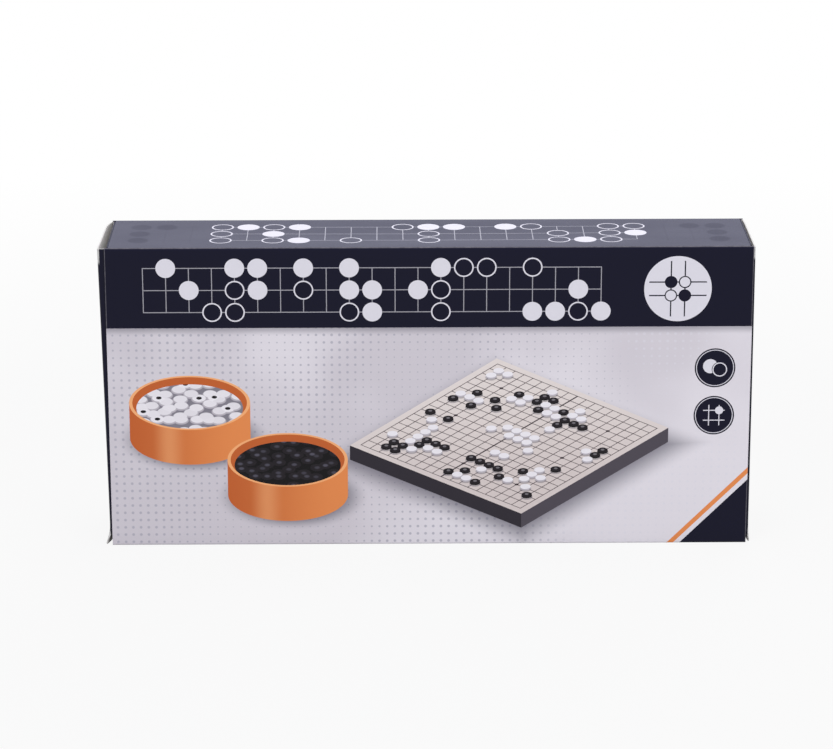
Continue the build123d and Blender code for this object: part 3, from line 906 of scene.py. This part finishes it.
def end_path(standoff):
    """Plan of an end panel as steps outwards and back from its front crease.

    The board runs on past the crease in the plane of the front, turns, and comes in towards the tuck.
    """
    radius = min(TURN_RADIUS, TURN_SHARE * standoff)
    turn_x = standoff - radius
    path = [(out, 0.0) for out in spread(0.0, turn_x, 6)]
    for angle in spread(-90.0, 0.0, 9)[1:]:
        path.append((turn_x + radius * cos(radians(angle)), radius + radius * sin(radians(angle))))
    span = TUCK_Y - HINGE_Y - TUCK_BEND
    for depth in spread(radius, span, 28)[1:]:
        lean = STRAIGHT_LEAN * depth / STRAIGHT_DEPTH
        if depth > STRAIGHT_DEPTH:
            lean += TUCK_PULL * ((depth - STRAIGHT_DEPTH) / (span - STRAIGHT_DEPTH)) ** 2
        path.append((standoff * (1.0 - lean), depth))
    return path


def end_rows(side, standoff_change, curl_reach):
    """Grid of an end panel and its tab.

    The panel stands off by a length that changes with its height, and its lower front corner curls out.
    """
    foot, gain, power = standoff_change
    bend = spread(0.0, 90.0 - TUCK_LEAN, 7)[1:]
    tab = spread(TAB_START, TUCK_LENGTH - TUCK_CORNER, 4)
    tab += [TUCK_LENGTH - TUCK_CORNER * (1.0 - sin(radians(a))) for a in spread(0.0, LAST_CORNER_DEG, 10)[1:]]
    rows = []
    for share in spread(0.0, 1.0, END_STEPS):
        row = []
        standoff = foot + gain * share ** power
        height = END_LOW + share * (END_HIGH - END_LOW)
        for out, depth in end_path(standoff):
            slit = SLIT_HEIGHT * max(0.0, 1.0 - out / standoff) if depth < TURN_RADIUS else 0.0
            z = END_LOW + slit + share * (END_HIGH - END_LOW - slit)
            curl = curl_reach * max(0.0, 1.0 - z / CURL_HEIGHT) ** CURL_POWER
            flare = curl * max(0.0, 1.0 - depth / CURL_DEPTH) ** FLARE_POWER
            row.append(Vector((side * (HINGE_REACH + out + flare), HINGE_Y + depth, z)))
        out, depth = end_path(standoff)[-1]
        for turn in bend:
            x = HINGE_REACH + out - TUCK_BEND * (1.0 - cos(radians(turn)))
            row.append(Vector((side * x, HINGE_Y + depth + TUCK_BEND * sin(radians(turn)), height)))
        corner = row[-1]
        for reach in tab:
            beyond = max(0.0, reach - (TUCK_LENGTH - TUCK_CORNER))
            cut = TUCK_INSET + TUCK_CORNER - sqrt(max(0.0, TUCK_CORNER ** 2 - beyond ** 2))
            z = END_LOW + cut + share * (END_HIGH - END_LOW - 2 * cut)
            x = corner.x - side * reach * cos(radians(TUCK_LEAN))
            row.append(Vector((x, corner.y - reach * sin(radians(TUCK_LEAN)), z)))
        rows.append(row if side > 0 else list(reversed(row)))
    return rows


end_materials = (end_print(), bare, edge)
sheet("left_end_sheet", end_rows(-1.0, LEFT_STANDOFF, LEFT_CURL), end_materials,
      (CUT_SIDE, PRINT_SIDE, CUT_SIDE, CUT_SIDE), "left_end", "left_end_panel")
sheet("right_end_sheet", end_rows(1.0, RIGHT_STANDOFF, RIGHT_CURL), end_materials,
      (CUT_SIDE, CUT_SIDE, CUT_SIDE, PRINT_SIDE), "right_end", "right_end_panel")

# Stones as smooth lenses, where the frame has them

STONE_RADIUS = 6.25
STONE_PITCH = 12.6
STONE_RINGS = 2
STONE_SIDES = 32
STONE_SHARP_DEG = 45.0
POCKET_RADIUS = 4.15
POCKET_DEPTH = 1.9
DOME_HEIGHT = 2.05
STONE_HEIGHT = 3.78

# Steps in from a stone's edge, and heights, up its rim
RIM_POINTS = ((0.5, 0.0), (0.1, 0.4), (0.0, 1.0), (0.15, 1.7))


def stone_profile():
    """Half section of a stone: a flat underside with a pocket, a rounded rim and a low dome."""
    pocket = [(0.0, POCKET_DEPTH), (POCKET_RADIUS, POCKET_DEPTH), (POCKET_RADIUS, 0.0)]
    rim = [(STONE_RADIUS - step, height) for step, height in RIM_POINTS]
    dome_radius, dome_low = rim[-1]
    dome = [
        (dome_radius * cos(radians(a)), dome_low + DOME_HEIGHT * sin(radians(a)))
        for a in spread(8.0, 82.0, 8)
    ]
    return pocket + rim + dome + [(0.0, STONE_HEIGHT)]


def stone_layer(name, node, material):
    """One layer of stones on the floor of a bowl, as one piece."""
    low, high = (corner_mm(node, side) for side in (False, True))
    middle = (low + high) / 2
    vertices = []
    faces = []
    profile = stone_profile()
    for row in range(-STONE_RINGS, STONE_RINGS + 1):
        for column in range(abs(row) - STONE_RINGS, STONE_RINGS + 1):
            x = middle.x + (column - abs(row) / 2) * STONE_PITCH
            z = middle.z - row * STONE_PITCH * sqrt(3) / 2
            first = len(vertices)
            rings = profile[1:-1]
            vertices.append(Vector((x, high.y - profile[0][1], z)) * MM)
            for radius, height in rings:
                for k in range(STONE_SIDES):
                    angle = 2 * pi * k / STONE_SIDES
                    place = Vector((x + radius * cos(angle), high.y - height, z + radius * sin(angle)))
                    vertices.append(place * MM)
            vertices.append(Vector((x, high.y - profile[-1][1], z)) * MM)
            last = len(vertices) - 1
            for k in range(STONE_SIDES):
                near = first + 1 + k
                far = first + 1 + (k + 1) % STONE_SIDES
                faces.append((first, far, near))
                for ring in range(len(rings) - 1):
                    a = near + ring * STONE_SIDES
                    b = far + ring * STONE_SIDES
                    faces.append((a, b, b + STONE_SIDES, a + STONE_SIDES))
                end = (len(rings) - 1) * STONE_SIDES
                faces.append((near + end, far + end, last))
    mesh = bpy.data.meshes.new(name)
    mesh.from_pydata(vertices, [], faces)
    mesh.materials.append(material)
    add_piece(name, mesh, STONE_SHARP_DEG, "rear_half", node)


white_plastic = moulded("white_stone_plastic", WHITE_STONE_TONES, roughness=0.3)
black_plastic = moulded("black_stone_plastic", BLACK_STONE_TONES, roughness=0.34)
stone_layer("white_lens_stones", "white_stones", white_plastic)
stone_layer("black_lens_stones", "black_stones", black_plastic)

# Nodes that keep their shapes

bowl_plastic = moulded("bowl_plastic", BOWL_TONES, roughness=0.28)
lid_plastic = moulded("lid_plastic", LID_TONES, roughness=0.3)
coated = coated_board()
tray = tray_plastic()
plate = plate_print()
ferrite = metal("ferrite", FERRITE_TONES, roughness=0.5)
NODE_MATERIALS = {
    "glue_flap": coated,
    "left_upper_dust_flap": coated,
    "left_lower_dust_flap": coated,
    "right_upper_dust_flap": coated,
    "right_lower_dust_flap": coated,
    "instruction_leaflet": leaflet_paper(),
    "rear_tray": tray,
    "front_tray": tray,
    "rear_playing_plate": plate,
    "front_playing_plate": plate,
    "hinge_pins": metal("pin_steel", STEEL_TONES, roughness=0.28),
    "white_bowl": bowl_plastic,
    "black_bowl": bowl_plastic,
    "white_bowl_lid": lid_plastic,
    "black_bowl_lid": lid_plastic,
    "white_stone_magnets": ferrite,
    "black_stone_magnets": ferrite,
}
for name, material in NODE_MATERIALS.items():
    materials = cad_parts[name].data.materials
    materials.clear()
    materials.append(material)

# Floor, light and camera

FLOOR_REACH = 12.0
FLOOR_GLOW = 0.9
SHADOW_REACH = 0.32
SHADOW_END = 0.75
BOUNCE_WHITE = (180, 180, 180)


def seen_directly(tree):
    """Socket that is 1 for rays that show a surface, straight or in a reflection."""
    path = tree.nodes.new("ShaderNodeLightPath")
    total = path.outputs["Is Camera Ray"]
    for name in ("Is Glossy Ray", "Is Transmission Ray"):
        node = tree.nodes.new("ShaderNodeMath")
        node.operation = "MAXIMUM"
        tree.links.new(total, node.inputs[0])
        tree.links.new(path.outputs[name], node.inputs[1])
        total = node.outputs[0]
    return total


def studio_floor():
    """White floor that keeps a soft shadow."""
    mesh = bpy.data.meshes.new("floor")
    corners = [(-1, -1), (1, -1), (1, 1), (-1, 1)]
    mesh.from_pydata([(x * FLOOR_REACH, y * FLOOR_REACH, 0.0) for x, y in corners], [], [(0, 1, 2, 3)])
    floor = bpy.data.objects.new("floor", mesh)
    bpy.context.scene.collection.objects.link(floor)
    material = bpy.data.materials.new("floor_white")
    material.use_nodes = True
    tree = material.node_tree
    tree.nodes.remove(tree.nodes["Principled BSDF"])
    diffuse = tree.nodes.new("ShaderNodeBsdfDiffuse")
    diffuse.inputs["Color"].default_value = linear(BOUNCE_WHITE)
    glow = tree.nodes.new("ShaderNodeEmission")
    place = tree.nodes.new("ShaderNodeTexCoord")
    distance = tree.nodes.new("ShaderNodeVectorMath")
    distance.operation = "LENGTH"
    tree.links.new(place.outputs["Object"], distance.inputs[0])
    fade = tree.nodes.new("ShaderNodeMapRange")
    for socket, value in zip(fade.inputs[1:5], (SHADOW_REACH, SHADOW_END, FLOOR_GLOW, 1.0)):
        socket.default_value = value
    tree.links.new(distance.outputs["Value"], fade.inputs[0])
    share = tree.nodes.new("ShaderNodeMath")
    share.operation = "MULTIPLY"
    tree.links.new(seen_directly(tree), share.inputs[0])
    tree.links.new(fade.outputs[0], share.inputs[1])
    mix = tree.nodes.new("ShaderNodeMixShader")
    tree.links.new(share.outputs[0], mix.inputs[0])
    tree.links.new(diffuse.outputs[0], mix.inputs[1])
    tree.links.new(glow.outputs[0], mix.inputs[2])
    tree.links.new(mix.outputs[0], tree.nodes["Material Output"].inputs["Surface"])
    mesh.materials.append(material)


AMBIENT_AIR = (0.42, 0.42, 0.45, 1.0)
SEEN_AIR = (0.96, 0.97, 1.2, 1.0)


def studio_world():
    """Pale surroundings that light the object less than they show in its reflections."""
    world = bpy.data.worlds.new("studio")
    bpy.context.scene.world = world
    world.use_nodes = True
    tree = world.node_tree
    air = tree.nodes.new("ShaderNodeMix")
    air.data_type = "RGBA"
    tree.links.new(seen_directly(tree), air.inputs[0])
    air.inputs[6].default_value = AMBIENT_AIR
    air.inputs[7].default_value = SEEN_AIR
    tree.links.new(air.outputs[2], tree.nodes["Background"].inputs["Color"])


LAMP_TARGET = (0.0, 0.0, 0.07)


def softbox(name, place, size, power):
    """Square soft light that faces the object, and that its reflections leave out."""
    light = bpy.data.lights.new(name, "AREA")
    light.size = size
    light.energy = power
    lamp = bpy.data.objects.new(name, light)
    lamp.location = place
    lamp.visible_glossy = False
    lamp.rotation_euler = (Vector(LAMP_TARGET) - Vector(place)).to_track_quat("-Z", "Y").to_euler()
    bpy.context.scene.collection.objects.link(lamp)


def photo_camera():
    """Camera at the photograph's place, worked out from the carton's corners and edges."""
    yaw, pitch, roll = (radians(a) for a in (CAMERA_YAW, CAMERA_PITCH, CAMERA_ROLL))
    forward = Vector((sin(yaw) * cos(pitch), cos(yaw) * cos(pitch), -sin(pitch)))
    level = Vector((cos(yaw), -sin(yaw), 0.0))
    above = level.cross(forward)
    right = level * cos(roll) + above * sin(roll)
    up = above * cos(roll) - level * sin(roll)
    data = bpy.data.cameras.new("photo_camera")
    data.sensor_width = SENSOR_WIDTH
    data.sensor_fit = "HORIZONTAL"
    data.lens = FOCAL_PIXELS * SENSOR_WIDTH / PHOTO_WIDTH
    data.clip_end = 100.0
    camera = bpy.data.objects.new("photo_camera", data)
    turn = Matrix((right, up, -forward)).transposed().to_4x4()
    camera.matrix_world = Matrix.Translation(Vector(CAMERA_PLACE) * MM) @ turn
    bpy.context.scene.collection.objects.link(camera)
    bpy.context.scene.camera = camera


studio_floor()
studio_world()
softbox("overhead_light", (0.0, 0.1, 1.6), size=1.4, power=10.0)
softbox("back_light", (0.5, 1.9, 1.2), size=1.2, power=20.0)
softbox("key_light", (-1.1, -1.7, 1.5), size=1.2, power=22.0)
softbox("fill_light", (1.4, -1.6, 1.0), size=1.2, power=17.0)
photo_camera()
bpy.context.scene.view_settings.view_transform = "Standard"
